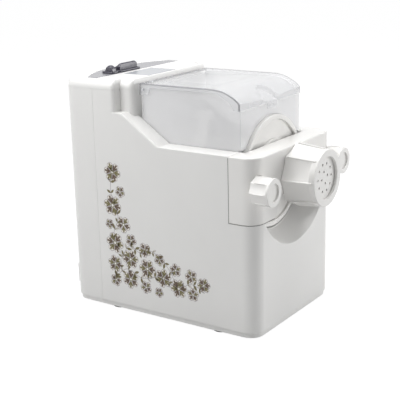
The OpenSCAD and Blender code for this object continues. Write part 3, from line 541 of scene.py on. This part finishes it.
PANEL = (48.0, 45.0, 28.0, 0.8)           # half width, start, end from the back, and rise
PANEL_EDGE = 0.9
EAR_RAMP = 4
BAND_STEP = 1.8


def rise(value, low, high):
    """A smooth step from 0 at low to 1 at high."""
    t = min(1.0, max(0.0, (value - low) / (high - low)))
    return t * t * (3 - 2 * t)


def lid_relief(x, depth):
    """How far the lid's upper face lies below its plain form, from the front of the lip."""
    dip = DIP * math.cos(math.pi * x / (2 * LID_HALF)) ** 2 * (1 - rise(depth, 0, DIP_REACH))
    middle, half, length, drop = SCOOP
    reach = math.hypot((x - middle) / half, depth / length)
    scoop = drop * rise(1 - reach, 0.0, SCOOP_EDGE)
    half_panel, start, end, height = PANEL
    back = LID_BACK - LID_FRONT - end
    panel = 1.0
    for inside in (half_panel - abs(x), depth - start, back - depth):
        panel *= rise(inside, -PANEL_EDGE, PANEL_EDGE)
    return dip + scoop - height * panel


def lid_profile():
    """The lid's upper line seen from the side, from the lip's foot to the back, as y and z."""
    lip = [(LID_FRONT, LIP_FOOT + LIP_HEIGHT * t) for t in LIP_STATIONS]
    slope = curve_points([(LID_FRONT + d, LID_TOP - drop) for d, drop in SLOPE], 6)
    start, end = slope[-1][0], LID_BACK - CORNER
    count = round((end - start) / BAND_STEP)
    flat = [(start + (end - start) * i / count, LID_TOP) for i in range(1, count + 1)]
    return lip + slope + flat + [(LID_BACK, LID_TOP - CORNER)]


def lower_edge(profile):
    """The skirt's lower edge, one point for each of the profile's, with an ear at the back."""
    front = [(LID_FRONT + depth, z) for depth, z in LID_UNDERSIDE]
    count = sum(y < front[-1][0] for y, _ in profile)
    out = []
    for i, (y, _) in enumerate(profile):
        if i < count:
            t = 2 * i / count
            a, b = front[int(t)], front[int(t) + 1]
            out.append(tuple(p + (q - p) * (t - int(t)) for p, q in zip(a, b)))
        else:
            length, depth = LID_EAR
            ear = min(1.0, max(0.0, (y - (LID_BACK - length - EAR_RAMP)) / EAR_RAMP))
            out.append((y, LID_TOP - LID_SKIRT - (depth - LID_SKIRT) * ear))
    return out


def lid_piece():
    """The lid: sloping front with a dip and a thumb scoop, raised panel, skirt and ears."""
    profile = lid_profile()
    edge = lower_edge(profile)
    inner = LID_HALF - CORNER
    count = round(2 * inner / BAND_STEP)
    columns = [-inner + 2 * inner * i / count for i in range(count + 1)]
    arc = [math.radians(a) for a in (0, 30, 60)]
    bm = bmesh.new()
    rows = []
    for i, ((y, z), (y_low, z_low)) in enumerate(zip(profile, edge)):
        a, b = profile[max(i - 1, 0)], profile[min(i + 1, len(profile) - 1)]
        along = Vector((b[0] - a[0], b[1] - a[1])).normalized()
        inward = Vector((along.y, -along.x))
        lip = min(1.0, (z - LIP_FOOT) / LIP_HEIGHT) if y <= LID_FRONT else 1.0
        left = []
        start = Vector((y, z)) + inward * CORNER
        for t in (1.0, 0.66, 0.33):
            left.append((LID_HALF, y_low * t + start.x * (1 - t), z_low * t + start.y * (1 - t)))
        for angle in arc:
            p = Vector((y, z)) + inward * CORNER * (1 - math.sin(angle))
            left.append((inner + CORNER * math.cos(angle), p.x, p.y))
        top = [(x, y, z - lid_relief(x, y - LID_FRONT) * lip) for x in columns]
        line = [(-x, p, q) for x, p, q in left] + top + list(reversed(left))
        rows.append([bm.verts.new((x * MM, p * MM, q * MM)) for x, p, q in line])
    side, last = 3, len(rows[0]) - 1
    for a, b in zip(rows, rows[1:]):
        for i in range(last):
            face = bm.faces.new((a[i], a[i + 1], b[i + 1], b[i]))
            face.smooth = True
            # Faces on the rounded side edges and the last row take the dark edge material, a painted
            # refraction shade
            near_edge = side <= i < side + len(arc) or last - side - len(arc) <= i < last - side
            face.material_index = 1 if near_edge or b is rows[-1] else 0
    lid = add_piece("lid_shell", bm, [LID_CLEAR, CLEAR_EDGE_SHADE], "lid")
    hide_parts("bowl_lid")
    wall = lid.modifiers.new("wall", "SOLIDIFY")
    wall.thickness = LID_WALL * MM
    wall.offset = -1
    smooth(lid)


def lid_tab():
    """The ribbed tab under the lip that lifts the lid."""
    half, top, bottom, corner = 12.0, LIP_FOOT + 3, LID_LOW[2], 3.5
    rib_half, rib_depth = 0.6, 1.2
    outline = [(-half, top), (half, top)]
    for side, start in ((1, 0), (-1, 90)):
        for a in range(0, 91, 15):
            turn = math.radians(start + a)
            x = side * (half - corner) + corner * math.cos(turn)
            outline.append((x, bottom + corner - corner * math.sin(turn)))
    bm = bmesh.new()
    slabs = [(outline, LID_LOW[1] + 0.5, LID_FRONT - 0.3)]
    for x in (-6.0, 0.0, 6.0):
        left, right = x - rib_half, x + rib_half
        rib = [(left, top - 3), (right, top - 3), (right, bottom + 2), (left, bottom + 2)]
        slabs.append((rib, LID_LOW[1], LID_LOW[1] + rib_depth))
    for points, y0, y1 in slabs:
        front = bm.faces.new([bm.verts.new((x * MM, y0 * MM, z * MM)) for x, z in points])
        moved = bmesh.ops.extrude_face_region(bm, geom=[front])["geom"]
        for vert in (v for v in moved if isinstance(v, bmesh.types.BMVert)):
            vert.co.y = y1 * MM
    bmesh.ops.recalc_face_normals(bm, faces=bm.faces[:])
    soften(add_piece("lid_tab", bm, [LID_CLEAR], "lid"), 0.4)


# ---------------------------------------------------------------- floral print

PRINT_X = -SIDE_X
PRINT_SEED = 7
# Each ink's material, its colour and how far it stands off the side, in mm
INKS = {
    "petal": ("ink_cream", (0.74, 0.71, 0.66), 0.03),
    "line": ("ink_mauve", (0.46, 0.43, 0.44), 0.05),
    "leaf": ("ink_olive", (0.17, 0.15, 0.065), 0.07),
    "dark": ("ink_umber", (0.11, 0.075, 0.05), 0.09),
}


class Print:
    """Flat inked shapes on the housing's left side, drawn in body y and z in mm."""

    def __init__(self):
        self.bm = bmesh.new()
        self.index = {ink: i for i, ink in enumerate(INKS)}

    def shape(self, ink, points):
        x = PRINT_X - INKS[ink][2]
        verts = [self.bm.verts.new((x * MM, (y + FRONT_Y) * MM, z * MM)) for y, z in points]
        face = self.bm.faces.new(verts)
        face.material_index = self.index[ink]

    def stroke(self, ink, points, width, taper=0.0):
        """A line of even or tapering width through the points."""
        last = len(points) - 1
        sides = []
        for i, (y, z) in enumerate(points):
            a, b = points[max(i - 1, 0)], points[min(i + 1, last)]
            d = Vector((b[0] - a[0], b[1] - a[1])).normalized()
            half = width / 2 * (1 - taper * i / last)
            sides.append(((y - d.y * half, z + d.x * half), (y + d.y * half, z - d.x * half)))
        for (a, b), (c, d) in zip(sides, sides[1:]):
            self.shape(ink, (a, b, d, c))

    def finish(self, name):
        bmesh.ops.triangulate(self.bm, faces=self.bm.faces[:])
        for face in self.bm.faces:
            if face.normal.x > 0:
                face.normal_flip()
        inks = [printed(material, colour) for material, colour, _ in INKS.values()]
        add_piece(name, self.bm, inks, "housing")


def polar(centre, radius, angle):
    return centre[0] + radius * math.cos(angle), centre[1] + radius * math.sin(angle)


def petal_outline(centre, inner, outer, angle, width, steps=9):
    """A rounded petal with a slight notch at its tip."""
    axis = Vector((math.cos(angle), math.sin(angle)))
    side = Vector((-axis.y, axis.x))
    up = []
    for i in range(steps + 1):
        t = i / steps
        reach = inner + (outer - inner) * t
        half = width * math.sin(math.pi * (0.06 + 0.94 * t) ** 1.35) ** 0.75 if t < 1 else 0
        up.append((reach * (1 - 0.07 * (t == 1)), half))
    points = [Vector(centre) + axis * r + side * h for r, h in up]
    points += [Vector(centre) + axis * r - side * h for r, h in reversed(up[:-1])]
    return [(p.x, p.y) for p in points]


def blossom(art, centre, radius, turn, petals):
    """An open flower: lacy petals, each with a fan of thick veins, round a ringed heart."""
    for k in range(petals):
        a = turn + 2 * math.pi * k / petals
        width = radius * 1.9 / petals
        outline = petal_outline(centre, radius * 0.2, radius, a, width)
        art.shape("petal", outline)
        for i, point in enumerate(outline):
            following = outline[(i + 1) % len(outline)]
            art.stroke("line", [point, following], 0.6 if i % 2 else 1.1)
        ink = "leaf" if k % 2 else "dark"
        for offset, reach in ((-0.42, 0.68), (0.0, 0.86), (0.42, 0.68)):
            vein = [polar(centre, radius * r, a + offset * (0.3 + r * 0.7)) for r in (0.25, 0.45, reach)]
            art.stroke(ink, list(reversed(vein)), radius * 0.19, 0.62)
    heart = [polar(centre, radius * 0.17, 2 * math.pi * i / 12) for i in range(13)]
    art.stroke("leaf", heart, radius * 0.08)


def leaf(art, root, angle, length, ink="leaf"):
    """A pointed leaf with a light midrib."""
    axis = Vector((math.cos(angle), math.sin(angle)))
    side = Vector((-axis.y, axis.x))
    half = [math.sin(math.pi * t) * (1 - 0.25 * t) * length * 0.24 for t in (i / 7 for i in range(8))]
    up = [Vector(root) + axis * length * i / 7 + side * h for i, h in enumerate(half)]
    down = [Vector(root) + axis * length * i / 7 - side * h for i, h in enumerate(half)]
    outline = [(p.x, p.y) for p in up] + [(p.x, p.y) for p in reversed(down[1:-1])]
    if ink == "petal":
        art.shape("petal", outline)
        art.stroke("line", outline + outline[:1], 0.5)
        art.stroke("leaf", [root, polar(root, length * 0.75, angle)], 0.9, 0.5)
    else:
        art.shape(ink, outline)
        art.stroke("dark", [root, polar(root, length * 0.85, angle)], 0.5, 0.5)


def curve_points(points, steps=10):
    """Points on a smooth curve through the given ones."""
    out = []
    for i in range(len(points) - 1):
        p = [Vector(points[max(0, min(len(points) - 1, i + k))]) for k in (-1, 0, 1, 2)]
        for s in range(steps):
            t = s / steps
            q = 0.5 * (
                2 * p[1] + (p[2] - p[0]) * t + (2 * p[0] - 5 * p[1] + 4 * p[2] - p[3]) * t ** 2
                + (3 * p[1] - p[0] - 3 * p[2] + p[3]) * t ** 3)
            out.append((q.x, q.y))
    return out + [tuple(points[-1])]


# Stems on the side, as depth and height in the body's own frame
STEMS = [
    [(212, 40), (197, 70), (208, 100), (200, 126), (210, 158), (204, 190)],
    [(212, 40), (190, 58), (165, 50), (138, 56), (112, 48), (90, 56), (72, 48)],
    [(197, 70), (184, 90), (166, 82), (150, 88), (128, 74), (112, 48)],
]
# Each flower's place, its radius and its number of petals
BLOSSOMS = [
    (206, 182, 13.5, 6), (195, 158, 8.0, 5), (208, 139, 14.5, 6), (192, 116, 11.5, 5),
    (214, 114, 7.0, 5), (207, 90, 14.5, 6), (181, 97, 9.0, 5), (183, 72, 13.0, 6),
    (208, 62, 12.0, 6), (208, 40, 9.0, 5), (184, 45, 13.0, 6), (160, 88, 10.0, 5),
    (157, 64, 13.5, 6), (160, 39, 9.0, 5), (138, 79, 8.5, 5), (133, 56, 13.0, 6),
    (140, 36, 7.0, 5), (114, 70, 9.0, 5), (110, 47, 13.0, 6), (91, 66, 9.5, 5),
    (89, 43, 9.0, 5), (73, 58, 10.0, 6),
]


def floral_print():
    art = Print()
    draw = random.Random(PRINT_SEED)
    for stem in STEMS:
        line = curve_points(stem)
        art.stroke("line", line, 0.8)
        for i in range(3, len(line) - 2, 4):
            d = Vector(line[i + 1]) - Vector(line[i - 1])
            base = math.atan2(d.y, d.x)
            for way in (-1, 1):
                kind = "petal" if (i // 4 + way) % 3 == 0 else "leaf"
                length = draw.uniform(6.0, 8.5)
                leaf(art, line[i], base + way * draw.uniform(0.7, 1.1), length, kind)
    for y, z, radius, petals in BLOSSOMS:
        blossom(art, (y, z), radius, draw.uniform(0, math.tau), petals)
    art.finish("floral_print")


# ---------------------------------------------------------------- studio

def white_for_view(tree, strength):
    """A factor that is the strength for rays from the camera, gloss and glass, and 0 for others."""
    path = tree.nodes.new("ShaderNodeLightPath")
    factor = path.outputs["Is Camera Ray"]
    for ray in ("Is Glossy Ray", "Is Transmission Ray"):
        either = tree.nodes.new("ShaderNodeMath")
        either.operation = "MAXIMUM"
        tree.links.new(factor, either.inputs[0])
        tree.links.new(path.outputs[ray], either.inputs[1])
        factor = either.outputs[0]
    scale = tree.nodes.new("ShaderNodeMath")
    scale.operation = "MULTIPLY"
    scale.inputs[1].default_value = strength
    tree.links.new(factor, scale.inputs[0])
    return scale.outputs[0]


WORLD_LEVEL = 0.19
FLOOR_HALF = 12.0        # in metres
FLOOR_SHARE = 0.8        # how much of the floor that the camera sees is plain white
FLOOR_WHITE = 1.2


def make_world():
    world = bpy.data.worlds.new("studio")
    bpy.context.scene.world = world
    world.use_nodes = True
    tree = world.node_tree
    tree.nodes.clear()
    soft, white = tree.nodes.new("ShaderNodeBackground"), tree.nodes.new("ShaderNodeBackground")
    soft.inputs["Color"].default_value = (0.98, 0.99, 1.0, 1)
    soft.inputs["Strength"].default_value = WORLD_LEVEL
    white.inputs["Strength"].default_value = 1.0
    white.inputs["Color"].default_value = (1, 1, 1, 1)
    mix, out = tree.nodes.new("ShaderNodeMixShader"), tree.nodes.new("ShaderNodeOutputWorld")
    tree.links.new(white_for_view(tree, 1.0), mix.inputs[0])
    tree.links.new(soft.outputs[0], mix.inputs[1])
    tree.links.new(white.outputs[0], mix.inputs[2])
    tree.links.new(mix.outputs[0], out.inputs["Surface"])


def make_floor():
    mesh = bpy.data.meshes.new("floor")
    corners = [(x * FLOOR_HALF, y * FLOOR_HALF, 0) for x, y in ((-1, -1), (1, -1), (1, 1), (-1, 1))]
    mesh.from_pydata(corners, [], [(0, 1, 2, 3)])
    floor = bpy.data.objects.new("floor", mesh)
    bpy.context.scene.collection.objects.link(floor)
    n = Nodes("floor")
    n.set(Base_Color=(0.62, 0.62, 0.62, 1), Roughness=0.9)
    n.bump(n.noise(300.0), 0.0001, 0.1)
    glow = n.add("ShaderNodeEmission", Strength=FLOOR_WHITE)
    mix = n.add("ShaderNodeMixShader")
    n.link(white_for_view(n.tree, FLOOR_SHARE), mix.inputs[0])
    n.link(n.shader.outputs[0], mix.inputs[1])
    n.link(glow.outputs[0], mix.inputs[2])
    n.link(mix.outputs[0], n.output.inputs["Surface"])
    mesh.materials.append(n.material)


LAMP_AIM_Z = 0.15


def lamp(name, azimuth, elevation, distance, size, power):
    """A soft square lamp that faces the object's middle, in degrees, metres and watts."""
    data = bpy.data.lights.new(name, "AREA")
    data.shape = "SQUARE"
    data.size = size
    data.energy = power
    obj = bpy.data.objects.new(name, data)
    az, el = math.radians(azimuth), math.radians(elevation)
    back = Vector((math.sin(az) * math.cos(el), -math.cos(az) * math.cos(el), math.sin(el)))
    obj.location = Vector((0, 0, LAMP_AIM_Z)) + back * distance
    obj.rotation_mode = "QUATERNION"
    obj.rotation_quaternion = (-back).to_track_quat("-Z", "Y")
    bpy.context.scene.collection.objects.link(obj)


def make_lamps():
    lamp("lamp_top", 150, 85, 1.5, 1.4, 22.5)
    lamp("lamp_left", -118, 38, 0.85, 0.5, 3.0)
    lamp("lamp_front", 40, 14, 1.5, 0.8, 10.0)


# ---------------------------------------------------------------- all

bpy.context.scene.view_settings.view_transform = "Standard"
make_camera()
make_world()
make_floor()
make_lamps()
dress_nodes()
lid_piece()
lid_tab()
# Thin dark strips of painted shade along the gap round the front plate
plate_gap_shade("plate_seal_left", -1)
plate_gap_shade("plate_seal_right", 1)
ribs("nut_ribs", "nut", 0, NUT_RIB, 1.0)
ribs("left_knob_ribs", "left_clamp", -KNOB_X, KNOB_RIB, KNOB_RIB_SCALE)
ribs("right_knob_ribs", "right_clamp", KNOB_X, KNOB_RIB, KNOB_RIB_SCALE)
floral_print()
